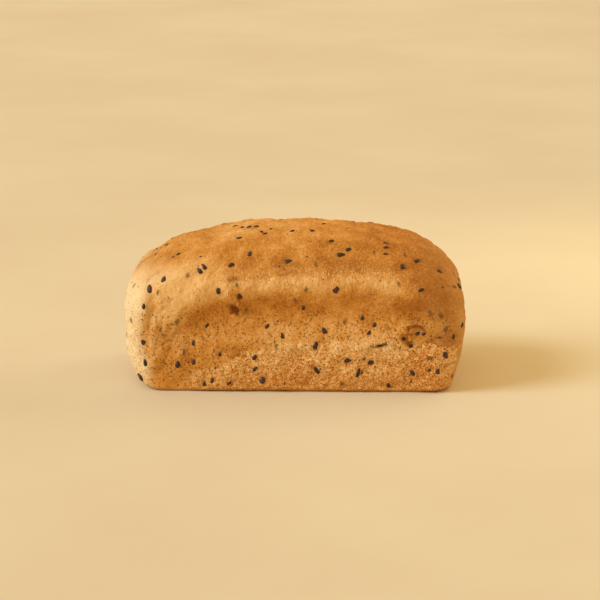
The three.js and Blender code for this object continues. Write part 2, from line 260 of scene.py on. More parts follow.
def crumbMask(point, normal, soft=crumbBand["soft"]):
    # How far a point lies in the torn crumb low on a long side
    mirrored = point.x if point.y < 0 else -point.x
    top = mix(crumbBand["low"], crumbBand["high"],
              smooth(crumbBand["start"], crumbBand["end"], mirrored))
    top += crumbBand["ragged"] * lumps(point.x, point.y, 0, crumbBand["raggedLength"])
    within = crumbBand["startsWithin"]
    return (normal.y ** 2
            * (1 - smooth(top - soft, top + soft, point.z))
            * smooth(crumbBand["start"] - within, crumbBand["start"] + within, mirrored)
            * smooth(0, crumbBand["foot"], point.z))


def lipHeight(point):
    fall = lipFall["left"] if point.x < 0 else lipFall["right"]
    fall *= smooth(lipFall["start"], lipFall["end"], abs(point.x))
    return lip["z"] - fall + lip["wander"] * lumps(point.x, point.y, 0, lip["wanderLength"])


def overMiddle(form, x):
    # From 1 over the loaf's middle to 0 where this form ends, near the loaf's ends
    return 1 - smooth(form["start"], form["end"], abs(x))


def lipMask(point, normal):
    onLip = bell(point.z - lipHeight(point), lip["width"])
    return onLip * abs(normal.y) * overMiddle(lip, point.x)


def waistMask(point, normal):
    inWaist = bell(point.z - lipHeight(point) + waist["below"], waist["width"])
    return inWaist * normal.y ** 2 * overMiddle(waist, point.x)


def broadRelief(point, normal):
    # How far the crust stands out from the plain body, or sinks in
    x, y, z = point
    facing = normal.y ** 2
    out = body["crownRise"] * bell(x, body["crownHalfLength"]) * normal.z ** 2
    out -= waist["depth"] * waistMask(point, normal)
    out += lip["rise"] * lipMask(point, normal)
    out -= (panel["depth"] * facing * overMiddle(panel, x) * smooth(0, panel["low"], z)
            * (1 - smooth(panel["fadeStart"], panel["fadeEnd"], z)))
    press = leftPress if x < 0 else rightPress
    out -= press["depth"] * bell(z - press["z"], press["width"]) * normal.x ** 2
    inBand = crumbMask(point, normal)
    out += inBand * (crumbBand["rise"] + crumbBand["rough"] * lumps(x, y, z, crumbBand["lump"]))
    if y < 0:
        foldX = cornerFold["x"] + cornerFold["sway"] * math.sin(z / cornerFold["swayHeight"])
        fade = cornerFold["fade"]
        out -= (cornerFold["depth"] * facing * bell(x - foldX, cornerFold["halfWidth"])
                * smooth(cornerFold["low"] - fade, cornerFold["low"] + fade, z)
                * (1 - smooth(cornerFold["high"] - fade, cornerFold["high"] + fade, z)))
    offX = x - topFold["x"]
    offY = y - topFold["y"]
    cosTurn = math.cos(topFold["turn"])
    sinTurn = math.sin(topFold["turn"])
    along = offX * cosTurn + offY * sinTurn
    aside = offY * cosTurn - offX * sinTurn
    out -= (topFold["depth"] * normal.z ** 2 * bell(aside, topFold["halfWidth"])
            * bell(along, topFold["halfLength"]))
    swell = dough["swell"] * mix(dough["swellOnSides"], 1, normal.z ** 2)
    dent = (swell * lumps(x + dough["apart"], y, z, dough["lump"])
            + dough["roughness"] * lumps(x, y + dough["apart"], z, dough["grain"]))
    return out + dent * smooth(0, dough["foot"], z)


# What only the looks show, read off the front: [x, z, length, turn]
fineSeeds = [
    [-78.5, 84, 3.2, 45], [-68, 81.5, 2.2, 70], [-52.5, 82, 2.2, 80], [-28.5, 99.6, 3.4, 80],
    [-24.5, 99.8, 3.2, 85], [-20.5, 100.4, 3.6, 70], [-17.5, 97, 3.2, -60], [-11.5, 98.5, 2.2, 80],
    [0.5, 97.5, 3, 80], [-7, 76.5, 1.8, 0], [12, 97.5, 3.2, 80], [96.5, 69, 3, 0],
    [87.5, 64.5, 1.8, 30], [7, 51.5, 3, 10], [-54, 49, 1.6, 0], [-51, 5.5, 3.4, 10],
    [-46.5, 7.5, 3.2, 0], [-4, 6, 1.8, 20], [70, 7.5, 1.8, 0], [80.5, 14.5, 2.6, 20],
    [93.5, 11.5, 3, 0], [73.5, 36.5, 4, 70], [77, 36.5, 3.4, 60], [65.5, 33.5, 4, 50],
    [69, 28.5, 4.6, 45], [52, 29.5, 4.4, 85], [42.5, 21, 2, 0], [-75, 87, 2, 60],
    [-95.6, 59.7, 3.4, 0],
]
redBits = [
    [-44.5, 15, 2.6, 0], [61, 33, 1.8, 0], [63.5, 28, 2.4, 40], [86, 34.5, 3, 80], [-85, 47, 1.4, 0],
    [-86.5, 44, 1.4, 0], [9, 82, 2.4, 60], [-8, 43.5, 2.6, 30], [41.5, 12, 3.2, 10],
    [-37.5, 52.5, 1.6, 0], [-72, 41, 1.6, 0], [-70, 96, 1.4, 0], [-89, 64, 1.4, 0],
]
filmedSeeds = [
    [-66.5, 43, 5.4, 10], [-77, 60.5, 4, 20], [-62.5, 25, 4.6, 0], [-74.5, 19, 3.6, 0],
    [-31.5, 65, 3.6, -10], [-9, 28.5, 4, 0], [31, 43, 3.6, 0], [14, 77.5, 4.2, 10],
    [29.5, 6, 3.6, 80], [80.5, 22, 5, 80], [80.5, 49, 5, -20], [86.5, 47.5, 4.6, -20],
    [89.5, 39.5, 5, 30], [65, 83, 4, 0], [81.5, 89, 3.6, 60], [8.5, 62.5, 4, 5],
    [-26, 50, 4.4, 10], [2, 56, 4, -20], [62, 66, 4, 0], [-60, 70.5, 4, 10], [47.5, 84.5, 4, 0],
]
# Small things by chance: how many, their lengths and how far apart
dressing = {"seed": 77, "tries": 9000, "ownSpacing": 0.7, "lowest": 1.5}
smallSeedsBy = {"count": 110, "low": 1.8, "high": 3.8, "spacing": 6.5}
filmedBy = {"count": 60, "low": 3.4, "high": 4.8, "spacing": 8.0}
specksBy = {"count": 420, "low": 0.7, "high": 1.5, "spacing": 2.0}
# Lines of sight to a place anywhere: how steep, and where they aim
sightLines = {"lowestClimb": -0.1, "along": 0.9, "halfAcross": 0.45, "highestAim": 60.0,
              "atEnd": 0.8, "farOff": 300.0}

# Fine crust, in millimetres
fine = {
    "tornCoarse": 2.6, "tornFine": 1.7, "tornDepth": 0.6, "tornFineDepth": 0.35, "crumbSoft": 6.0,
    "skinSize": 3.6, "skinDepth": 0.38, "lumpSize": 8.0, "lumpDepth": 0.75,
    "blisterSize": 5.0, "blisterRise": 0.7, "blisterPatch": 19.0,
    "poreSize": 2.6, "poreDepth": 0.28, "strandWidth": 1.7, "strandLength": 12.0,
    "strandDepth": 0.2, "creaseAcross": 3.0, "creaseAlong": 11.0, "creaseDepth": 0.14,
    "creaseDrift": 9.0, "creaseEdge": 0.2, "foot": 2.5, "raggedPower": 0.7,
    "skinFineSize": 0.45, "skinFineShare": 0.5, "poreFrom": 0.12, "poreTo": 0.4,
    "blisterLow": 56.0, "blisterHigh": 70.0, "blisterFrom": 0.08, "blisterTo": 0.42,
    "patchFrom": -0.1, "patchTo": 0.4, "trace": 0.01,
}
# Each noise is read from its own part of space
shifted = {"torn": Vector((9, 4, 2)), "lump": Vector((1, 9, 6)), "blister": Vector((3, 8, 1)),
           "patch": Vector((7, 1, 5)), "mottle": Vector((2, 6, 4)), "strand": 5.0, "wrinkle": 2.5}
# The dent round a seed, and the bump of a seed under a film of dough
seedDent = {"reach": 3.8, "depth": 0.35, "ring": 0.42, "ringWidth": 0.45}
filmBump = {"reach": 4.0, "rise": 0.4, "halfWidth": 0.3, "inner": 0.6, "outer": 1.05}
# Where pores show, where the front's hollows and grooves are looked for, how much painted shade the
# cuts and creases get, and how much painted light the ridges get
poreZone = {"from": 44.0, "to": 54.0, "wander": 4.0, "wanderSize": 16.0}
frontZone = {"facing": 0.3, "back": 30.0, "cutShade": 0.55, "creaseShade": 0.5, "ridgeLight": 1.6}
# Wrinkles that run up the left of the front, and where they lie
wrinkles = {"x": -70.0, "z": 37.0, "halfX": 12.0, "halfZ": 18.0, "depth": 0.75, "lean": 0.45,
            "across": 3.4, "along": 12.0}


def gridCube(cells):
    # A cube of half side 1, cut into so many cells along X, Y and Z
    bm = bmesh.new()
    bmesh.ops.create_cube(bm, size=2)
    for axis, count in enumerate(cells):
        along = [edge for edge in bm.edges
                 if abs(edge.verts[0].co[axis] - edge.verts[1].co[axis]) > 1]
        bmesh.ops.subdivide_edges(bm, edges=along, cuts=count - 1, use_grid_fill=True)
    return bm


def cutFlat(bm):
    # Everything under the underside goes, and one face closes it
    everything = bm.verts[:] + bm.edges[:] + bm.faces[:]
    bmesh.ops.bisect_plane(bm, geom=everything, dist=1e-5, plane_co=(0, 0, 0),
                           plane_no=(0, 0, 1), clear_inner=True)
    rim = [edge for edge in bm.edges if edge.is_boundary]
    bmesh.ops.holes_fill(bm, edges=rim, sides=0)
    for edge in rim:
        edge.smooth = False


def plainBody():
    bm = gridCube(body["plainCells"])
    for vert in bm.verts:
        point, normal = plainPoint(*vert.co)
        out = broadRelief(point, normal) if vert.co.z > -cubeEnd else 0.0
        vert.co = point + normal * out
    bm.normal_update()
    tree = BVHTree.FromBMesh(bm)
    bm.free()
    return tree


class Laid:
    # Where a small thing lies on the crust, in millimetres
    flatFrom = 0.9  # where the crust faces up this much, the thing's length is turned from +Y

    def __init__(self, place, out, length, turn):
        self.place = place
        self.out = out
        self.length = length
        up = Vector((0, 1, 0)) if abs(out.z) > self.flatFrom else Vector((0, 0, 1))
        up = (up - out * up.dot(out)).normalized()
        self.up = Matrix.Rotation(-turn, 3, out) @ up

    def matrix(self, scale, sink=0.0):
        across = self.out.cross(self.up)
        turned = Matrix((across, self.out, self.up)).transposed().to_4x4()
        place = Matrix.Translation(self.place - self.out * sink)
        return place @ turned @ Matrix.Diagonal(scale).to_4x4()


def seenFromFront(tree, x, z, length, degrees):
    way = Vector((x, -body["depth"] / 2, z)) - eye
    place, out = tree.ray_cast(eye, way.normalized())[:2]
    return Laid(place, out, length, math.radians(degrees)) if place else None


def frontLaid(tree, rows):
    found = [seenFromFront(tree, *row) for row in rows]
    return [laid for laid in found if laid]


def scatteredKernels(tree, kernels):
    # Each try looks straight at an end, the back or the top. The front has its own.
    draw = Draw(scatter["seed"])
    most = len(kernels) + scatter["most"]
    for tried in range(scatter["tries"]):
        if len(kernels) >= most:
            break
        face = draw.next()
        along = (draw.next() - 0.5) * body["length"] * scatter["share"]
        across = (draw.next() - 0.5) * body["depth"] * scatter["share"]
        up = draw.between(scatter["lowest"], scatter["highest"])
        length = kernel["length"] * draw.between(kernel["least"], kernel["most"])
        turn = draw.next() * math.pi
        way = Vector((0, 0, -1))
        start = Vector((along, across, body["length"]))
        if face < scatter["ends"]:
            way = Vector((-1 if along > 0 else 1, 0, 0))
            start = Vector((-way.x * body["length"], across, up))
        elif face < scatter["ends"] + scatter["back"]:
            way = Vector((0, -1, 0))
            start = Vector((along, body["length"], up))
        place, out = tree.ray_cast(start, way)[:2]
        crowded = any((seed.place - place).length < scatter["spacing"] for seed in kernels)
        inFront = place.y < scatter["front"] and abs(place.x) < scatter["frontHalf"]
        if not crowded and not inFront:
            kernels.append(Laid(place, out, length, turn))
    return kernels


def anywhere(tree, draw, length):
    # A place anywhere on the crust, looked at from a way round the loaf
    around = draw.next() * 2 * math.pi
    climb = draw.between(sightLines["lowestClimb"], 1.0)
    share = math.sqrt(max(0.0, 1 - climb * climb))
    way = Vector((math.cos(around) * share, math.sin(around) * share, max(climb, 0.0)))
    aim = Vector((draw.between(-0.5, 0.5) * body["length"] * sightLines["along"], 0,
                  draw.between(dressing["lowest"], sightLines["highestAim"])))
    if abs(way.x) > sightLines["atEnd"]:
        half = sightLines["halfAcross"]
        aim.y = draw.between(-half, half) * body["depth"]
    place, out = tree.ray_cast(aim + way * sightLines["farOff"], -way)[:2]
    turn = draw.next() * math.pi
    if place is None or place.z < dressing["lowest"]:
        return None
    return Laid(place, out, length, turn)


def isCrowded(laid, others, spacing):
    return any((other.place - laid.place).length < spacing for other in others)


def scatterMore(tree, draw, by, others):
    made = []
    for tried in range(dressing["tries"]):
        if len(made) >= by["count"]:
            break
        laid = anywhere(tree, draw, draw.between(by["low"], by["high"]))
        if laid is None or isCrowded(laid, others, by["spacing"]):
            continue
        if not isCrowded(laid, made, by["spacing"] * dressing["ownSpacing"]):
            made.append(laid)
    return made


# The fine body
def apparent(point):
    # Where a point shows against the front's upright plane, seen from the eye
    share = (-body["depth"] / 2 - eye.y) / (point.y - eye.y)
    return eye.x + (point.x - eye.x) * share, eye.z + (point.z - eye.z) * share


def offPath(x, z, path):
    # The distance from a path, and how near its ends the foot lies
    best = math.inf
    fade = 0.0
    ends = grooveEdge["ends"]
    total = len(path) - 1
    for number in range(total):
        ax, az = path[number]
        bx, bz = path[number + 1]
        lengthSquared = (bx - ax) ** 2 + (bz - az) ** 2
        share = clamp(((x - ax) * (bx - ax) + (z - az) * (bz - az)) / lengthSquared, 0, 1)
        off = math.hypot(x - mix(ax, bx, share), z - mix(az, bz, share))
        if off < best:
            best = off
            through = (number + share) / total
            fade = smooth(0, ends, through) * smooth(0, ends, 1 - through)
    return best, fade


def hollowDepth(x, z):
    # How deep the hollows are here, how high their rims, and how much painted shade they get
    depth = 0.0
    rim = 0.0
    dark = 0.0
    grain = hollowEdge["wobbleGrain"]
    broad = noise.noise(Vector((x * grain, z * grain, hollowEdge["wobbleField"])))
    small = noise.noise(Vector((x, z, hollowEdge["fineField"])))
    wobble = 1 + hollowEdge["wobble"] * broad + hollowEdge["fineWobble"] * small
    for middleX, middleZ, across, up, deep, turn, hollowShade in hollows.values():
        offX = x - middleX
        offZ = z - middleZ
        if max(abs(offX), abs(offZ)) > max(across, up):
            continue
        along = offX * math.cos(turn) - offZ * math.sin(turn)
        rise = offX * math.sin(turn) + offZ * math.cos(turn)
        off = math.hypot(along / (across / 2), rise / (up / 2)) / wobble
        if off < 1:
            depth = max(depth, deep / 2 * math.sqrt(1 - off * off))
            dark = max(dark, hollowShade * smooth(1.0, hollowEdge["shadeAt"], off))
        elif off < hollowEdge["reach"]:
            rim = max(rim, hollowEdge["rim"] * bell(off - hollowEdge["rimAt"],
                                                    hollowEdge["rimWidth"]))
    return depth, rim, dark


def creases(across, along, offset):
    # Thin valleys, from 0 to 1, where a stretched noise passes zero
    near = abs(noise.noise(Vector((across, along, offset))))
    return 1 - smooth(0.0, fine["creaseEdge"], near)


def fineRelief(at, normal, marks):
    # How far the fine crust stands out at a place
    torn = marks["torn"]
    foot = smooth(0, fine["foot"], at.z)
    out = 0.0
    if torn > fine["trace"]:
        coarse = noise.noise(at / fine["tornCoarse"])
        small = noise.noise(at / fine["tornFine"] + shifted["torn"])
        ragged = math.copysign(abs(coarse) ** fine["raggedPower"], coarse)
        out += torn * foot * (fine["tornDepth"] * ragged + fine["tornFineDepth"] * small)
    smoothSkin = 1 - torn
    skin = (noise.noise(at / fine["skinSize"]) + fine["skinFineShare"]
            * noise.noise(at / (fine["skinSize"] * fine["skinFineSize"])))
    out += smoothSkin * foot * fine["skinDepth"] * skin
    out += foot * fine["lumpDepth"] * noise.noise(at / fine["lumpSize"] + shifted["lump"])
    crease = creases(at.x / fine["creaseAcross"], (at.z - at.y) / fine["creaseAlong"],
                     at.y / fine["creaseDrift"])
    out -= smoothSkin * foot * fine["creaseDepth"] * crease
    if at.y < 0:
        region = (normal.y ** 2 * bell(at.x - wrinkles["x"], wrinkles["halfX"])
                  * bell(at.z - wrinkles["z"], wrinkles["halfZ"]))
        if region > 2 * fine["trace"]:
            leaned = at.x - wrinkles["lean"] * at.z
            crease = region * creases(leaned / wrinkles["across"], at.z / wrinkles["along"],
                                      shifted["wrinkle"])
            out -= smoothSkin * wrinkles["depth"] * crease
            # The crease is kept so that painted shade can lie in it
            marks["crease"] = smoothSkin * crease
    strand = noise.noise(Vector((at.x / fine["strandWidth"], shifted["strand"],
                                 at.z / fine["strandLength"])))
    out += marks["lip"] * fine["strandDepth"] * strand
    if marks["pores"] > fine["trace"]:
        nearest = noise.voronoi(at / fine["poreSize"])[0][0]
        hole = 1 - smooth(fine["poreFrom"], fine["poreTo"], nearest)
        out -= marks["pores"] * fine["poreDepth"] * hole
    top = smooth(fine["blisterLow"], fine["blisterHigh"], at.z)
    if top > 2 * fine["trace"]:
        nearest = noise.voronoi(at / fine["blisterSize"] + shifted["blister"])[0][0]
        blister = 1 - smooth(fine["blisterFrom"], fine["blisterTo"], nearest)
        patch = smooth(fine["patchFrom"], fine["patchTo"],
                       noise.noise(at / fine["blisterPatch"] + shifted["patch"]))
        out += top * patch * fine["blisterRise"] * blister
    return out


def groovesAt(x, z):
    # How deep the grooves and how high the ridges are here
    cut = 0.0
    ridge = 0.0
    for halfWidth, depth, path in grooves:
        reach = halfWidth * grooveEdge["reach"]
        if not min(p[0] for p in path) - reach < x < max(p[0] for p in path) + reach:
            continue
        if not min(p[1] for p in path) - reach < z < max(p[1] for p in path) + reach:
            continue
        off, fade = offPath(x, z, path)
        amount = depth * fade * bell(off, halfWidth)
        cut = max(cut, amount)
        ridge = max(ridge, -amount)
    return cut, ridge


# How dark each part is, from 0 to 1: how it baked, with painted shade in the waist under the lip and
# towards the right end
bake = {"plain": 0.50, "top": 0.15, "waist": 0.29, "waistBelow": 10.5, "waistWidth": 9.5,
        "lip": 0.38, "lipBelow": 3.8, "lipWidth": 5.2, "lipTop": 1.5, "lipSoft": 1.6,
        "lipWander": 1.5, "lipWanderSize": 6.0, "ends": 0.20, "endsFrom": 0.4, "endsTo": 0.9,
        "mottle": 0.22, "mottleSize": 22.0, "right": 0.30, "rightStart": 52.0, "rightEnd": 86.0,
        "rightLow": 30.0, "rightFade": 12.0, "rightFacing": 0.3, "rightTurned": 0.95,
        "placesBack": 20.0}
# Pale skin on the left end, most at its front corner, where a fold ends it sharply; partly painted
# light, as this end faces the light
cream = {"start": 0.10, "end": 0.50, "top": 78.0, "fade": 22.0, "past": 0.6, "from": -31.0,
         "to": -8.0, "foldX": -80.5, "foldWidth": 11.0, "foldLow": 24.0, "foldHigh": 60.0,
         "foldFade": 8.0, "sway": 1.4, "swayHeight": 7.0, "wander": 3.0, "wanderSize": 7.0}
# Paler and darker places of the front as seen, partly how it baked and partly painted light and
# painted shade: [x, z, half width, half height, darker by]
bakeAndShadePlaces = [
    [-64, 18, 12, 9, 0.16], [-68, 39, 11, 9, -0.5], [24, 76.5, 52, 5.5, 0.27],
    [-60, 66, 22, 9, -0.55], [-56, 86, 22, 8, -0.16], [-12, 100, 42, 7, -0.28],
    [82, 62, 12, 14, 0.26], [80, 88, 12, 6, -0.2], [28, 28, 40, 5, -0.28],
    [80, 15, 12, 14, 0.42], [92, 22, 7, 6, -0.3], [-80, 35, 6, 17, -0.42],
    [0, 6, 62, 8, 0.36], [24, 19, 70, 6, 0.12], [-38, 12, 20, 8, -0.1], [-70, 57, 11, 8, -0.3],
    [94, 58, 8, 12, 0.1], [80, 27, 9, 6, 0.1], [34, 36, 48, 6, -0.2],
    [86, 42, 12, 10, -0.2], [46, 98, 22, 7, 0.12],
    [46, 88, 14, 5, 0.2], [46, 56.5, 18, 3, -0.15],
]


def bakeAndShadeHere(point, normal):
    level = bake["plain"]
    level += bake["top"] * normal.z ** 2
    below = point.z - lipHeight(point)
    # Darker in the waist under the lip: partly a deeper bake, partly painted shade under the lip's
    # overhang
    inWaist = bell(below + bake["waistBelow"], bake["waistWidth"])
    level += bake["waist"] * inWaist * normal.y ** 2 * overMiddle(waist, point.x)
    edge = below + bake["lipWander"] * noise.noise(point / bake["lipWanderSize"]) - bake["lipTop"]
    onLip = (bell(min(below + bake["lipBelow"], 0), bake["lipWidth"])
             * (1 - smooth(-bake["lipSoft"], bake["lipSoft"], edge)))
    level -= bake["lip"] * onLip * abs(normal.y) * overMiddle(lip, point.x)
    level -= bake["ends"] * smooth(bake["endsFrom"], bake["endsTo"], abs(normal.x))
    # Darker towards the right end, partly painted shade where that end turns from the light
    level += (bake["right"] * smooth(bake["rightStart"], bake["rightEnd"], point.x)
              * smooth(-bake["rightFade"], bake["rightFade"], point.z - bake["rightLow"])
              * (1 - smooth(bake["rightFacing"], bake["rightTurned"], normal.x)))
    level += bake["mottle"] * noise.noise(point / bake["mottleSize"] + shifted["mottle"])
    # The places listed above add painted light and painted shade as well as baked tone
    if point.y < bake["placesBack"]:
        seenX, seenZ = apparent(point)
        for x, z, halfX, halfZ, darker in bakeAndShadePlaces:
            level += darker * bell(seenX - x, halfX) * bell(seenZ - z, halfZ)
    return clamp(level, 0, 1)


def creamAndLightHere(point, normal):
    amount = (smooth(cream["start"], cream["end"], -normal.x)
              * (1 - smooth(cream["top"] - cream["fade"], cream["top"], point.z))
              * (1 - cream["past"] * smooth(cream["from"], cream["to"], point.y)))
    if point.y < 0:
        foldX = (cream["foldX"] + cream["sway"] * math.sin(point.z / cream["swayHeight"])
                 + cream["wander"] * noise.noise(point / cream["wanderSize"]))
        inFold = (smooth(-cream["foldFade"], 0, point.z - cream["foldLow"])
                  * (1 - smooth(0, cream["foldFade"], point.z - cream["foldHigh"])))
        amount *= 1 - inFold * smooth(foldX - cream["foldWidth"], foldX, point.x)
    return amount


def treeOf(laidOnes):
    # A tree that finds the nearest of some small things
    tree = KDTree(len(laidOnes))
    for number, laid in enumerate(laidOnes):
        tree.insert(laid.place, number)
    tree.balance()
    return tree


def dentAt(found, seeds):
    # The dent in the crust round the nearest seed
    number, off = found[1:]
    ring = seeds[number].length * seedDent["ring"]
    if off >= seedDent["reach"]:
        return 0.0
    return seedDent["depth"] * bell(off - ring, ring * seedDent["ringWidth"])


def coverAt(surface, found, filmed):
    # How far the nearest seed under a film of dough lies below this place, from 0 to 1
    number, off = found[1:]
    if off >= filmBump["reach"]:
        return 0.0
    seed = filmed[number]
    offset = surface - seed.place
    along = offset.dot(seed.up) / (seed.length / 2)
    aside = offset.cross(seed.up).length / (seed.length * filmBump["halfWidth"])
    return 1 - smooth(filmBump["inner"], filmBump["outer"], math.hypot(along, aside))


def fineBody(seeds, filmed):
    # The crust at its full detail, with its marks kept on its points
    bm = gridCube(body["fineCells"])
    names = ("torn", "crumb", "lip", "bake", "pores", "film", "cut", "cream")
    layers = {name: bm.verts.layers.float.new(name) for name in names}
    seedTree = treeOf(seeds)
    filmTree = treeOf(filmed)
    for vert in bm.verts:
        point, normal = plainPoint(*vert.co)
        if vert.co.z < -cubeEnd:
            vert.co = point
            continue
        surface = point + normal * broadRelief(point, normal)
        height = point.z + poreZone["wander"] * noise.noise(surface / poreZone["wanderSize"])
        marks = {"torn": crumbMask(point, normal), "lip": lipMask(point, normal),
                 "crumb": crumbMask(point, normal, fine["crumbSoft"]),
                 "bake": bakeAndShadeHere(surface, normal), "cream": creamAndLightHere(surface, normal),
                 "pores": normal.y ** 2 * (1 - smooth(poreZone["from"], poreZone["to"], height)),
                 "cut": 0.0, "crease": 0.0}
        out = fineRelief(surface, normal, marks)
        if normal.y < frontZone["facing"] and surface.y < frontZone["back"]:
            x, z = apparent(surface)
            depth, rim, dark = hollowDepth(x, z)
            size = grooveEdge["swaySize"]
            sway = noise.noise(Vector((x / size, z / size, grooveEdge["swayField"])))
            cut, ridge = groovesAt(x + sway * grooveEdge["sway"], z)
            out += rim + ridge - depth - cut
            # Painted shade in the hollows, the grooves and the wrinkles' creases
            marks["cut"] = clamp(dark + cut * frontZone["cutShade"]
                                 + marks["crease"] * frontZone["creaseShade"], 0, 1)
            # Ridges take the lip's pale strands: painted light where the flap's edge and the curled
            # rim catch the light
            marks["lip"] = max(marks["lip"], clamp(ridge / frontZone["ridgeLight"], 0, 1))
        out -= dentAt(seedTree.find(surface), seeds)
        marks["film"] = coverAt(surface, filmTree.find(surface), filmed)
        out += filmBump["rise"] * marks["film"]
        vert.co = surface + normal * out
        for name in names:
            vert[layers[name]] = marks[name]
    cutFlat(bm)
    return bm


manyCorners = 12  # only the underside's face has so many, and it stays flat


def asPiece(name, bm):
    # A mesh in millimetres becomes a piece of the loaf, in metres
    bmesh.ops.translate(bm, vec=(-boxMiddle, 0, 0), verts=bm.verts)
    bmesh.ops.scale(bm, vec=(mm, mm, mm), verts=bm.verts)
    for face in bm.faces:
        face.smooth = len(face.verts) < manyCorners
    mesh = bpy.data.meshes.new(name)
    bm.to_mesh(mesh)
    bm.free()
    piece = bpy.data.objects.new(name, mesh)
    bpy.context.scene.collection.objects.link(piece)
    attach(piece, "root")
    return piece


def joined(count, make, batch=250):
    # Many small shapes in one mesh, made in batches because a long one is slow to add to
    whole = bmesh.new()
    whole.verts.layers.float.new("shade")
    for first in range(0, count, batch):
        part = bmesh.new()
        shade = part.verts.layers.float.new("shade")
        for number in range(first, min(first + batch, count)):
            make(part, number, shade)
        carrier = bpy.data.meshes.new("carrier")
        part.to_mesh(carrier)
        part.free()
        whole.from_mesh(carrier)
        bpy.data.meshes.remove(carrier)
    return whole


def settle(tree, laid, start=4.0):
    # The same place, on the fine crust
    place = tree.ray_cast(laid.place + laid.out * start, -laid.out)[0]
    if place is not None and (place - laid.place).length < start:
        laid.place = place
    return laid


# Seeds by chance keep off the front. Dough covers those on the top's far edge and left corner.
cover = {"front": 14.0, "grazing": 0.3, "edgeHeight": 60.0, "edgeFrom": 4.0, "cornerTo": -8.0}


def awayFromFront(laid):
    return laid.place.y > cover["front"] or abs(laid.place.x) > scatter["frontHalf"]


def underFilm(laid):
    x, y, z = laid.place
    facing = abs(laid.out.dot((eye - laid.place).normalized()))
    farEdge = facing < cover["grazing"] and z > cover["edgeHeight"] and y > cover["edgeFrom"]
    return farEdge or (x < -scatter["frontHalf"] and y < cover["cornerTo"])


print("shape rule ready")
plainTree = plainBody()
shownKernels = frontLaid(plainTree, frontSeeds)
kernels = scatteredKernels(plainTree, shownKernels[:])
byChance = kernels[len(shownKernels):]
print("kernels", len(kernels))
draw = Draw(dressing["seed"])
detailSeeds = frontLaid(plainTree, fineSeeds)
smallSeeds = scatterMore(plainTree, draw, smallSeedsBy, kernels + detailSeeds)
smallSeeds = [laid for laid in smallSeeds if awayFromFront(laid) and not underFilm(laid)]
filmed = frontLaid(plainTree, filmedSeeds) + [laid for laid in byChance if underFilm(laid)]
kernels = shownKernels + [laid for laid in byChance if not underFilm(laid)]
moreFilmed = scatterMore(plainTree, draw, filmedBy, kernels + detailSeeds + filmed)
filmed += [laid for laid in moreFilmed if awayFromFront(laid)]
seeds = kernels + detailSeeds + smallSeeds
fineBm = fineBody(seeds, filmed)
fineBm.normal_update()
fineTree = BVHTree.FromBMesh(fineBm)
print("fine body", len(fineBm.verts), "points")
crust = asPiece("crust", fineBm)
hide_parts("loaf")


# Seeds: an uneven drop with a taper, half sunk and a little tipped
seedLook = {"narrow": 1.12, "wide": 1.5, "uneven": 0.24, "unevenSize": 2.4, "unevenStep": 3.7,
            "tip": 0.22, "proudShare": 0.16, "least": 0.5, "around": 8, "rings": 7}
settledSeeds = [settle(fineTree, laid) for laid in seeds]
seedShades = [draw.next() for laid in settledSeeds]
seedTips = [draw.between(-seedLook["tip"], seedLook["tip"]) for laid in settledSeeds]
seedProud = [min(kernel["proud"], laid.length * seedLook["proudShare"])
             * draw.between(seedLook["least"], 1) for laid in settledSeeds]


def oneSeed(bm, number, shadeLayer):
    laid = settledSeeds[number]
    shade = seedShades[number]
    size = laid.length / kernel["length"]
    thick = kernel["thickness"] * size
    width = kernel["width"] * size * mix(seedLook["narrow"], seedLook["wide"], shade)
    made = bmesh.ops.create_uvsphere(bm, u_segments=seedLook["around"],
                                     v_segments=seedLook["rings"], radius=0.5)["verts"]
    own = Vector((number * seedLook["unevenStep"], 0, 0))
    for vert in made:
        bulge = noise.noise(vert.co * seedLook["unevenSize"] + own)
        vert.co *= 1 + seedLook["uneven"] * bulge
        vert.co.x *= 1 - kernel["taper"] * (vert.co.z + 0.5)
        vert[shadeLayer] = shade
    sunk = laid.matrix(Vector((1, 1, 1)), thick / 2 - seedProud[number])
    tipped = Matrix.Rotation(seedTips[number], 4, "X")
    sized = Matrix.Diagonal(Vector((width, thick, laid.length))).to_4x4()
    bmesh.ops.transform(bm, matrix=sunk @ tipped @ sized, verts=made)


seedPiece = asPiece("seeds", joined(len(settledSeeds), oneSeed))
print("seeds", len(settledSeeds))

# Husk bits and small specks: low grains, red brown
speckShape = {"width": 0.6, "thickness": 0.35, "sink": 0.06}
specks = frontLaid(plainTree, redBits) + scatterMore(plainTree, draw, specksBy, [])
specks = [settle(fineTree, laid) for laid in specks]
speckShades = [draw.next() for laid in specks]


def oneSpeck(bm, number, shadeLayer):
    laid = specks[number]
    made = bmesh.ops.create_icosphere(bm, subdivisions=1, radius=0.5)["verts"]
    for vert in made:
        vert[shadeLayer] = speckShades[number]
    scale = Vector((speckShape["width"], speckShape["thickness"], 1)) * laid.length
    sunk = laid.matrix(scale, laid.length * speckShape["sink"])
    bmesh.ops.transform(bm, matrix=sunk, verts=made)


speckPiece = asPiece("specks", joined(len(specks), oneSpeck))
print("specks", len(specks))

# Flakes of torn crumb, low on both long sides
flake = {"count": 4200, "triesEach": 6, "least": 0.6, "most": 1.7, "width": 0.7, "thin": 0.45,
         "depth": 0.6, "point": 0.2, "tip": 0.7, "sink": 0.15, "lowest": 0.8, "above": 5.0}


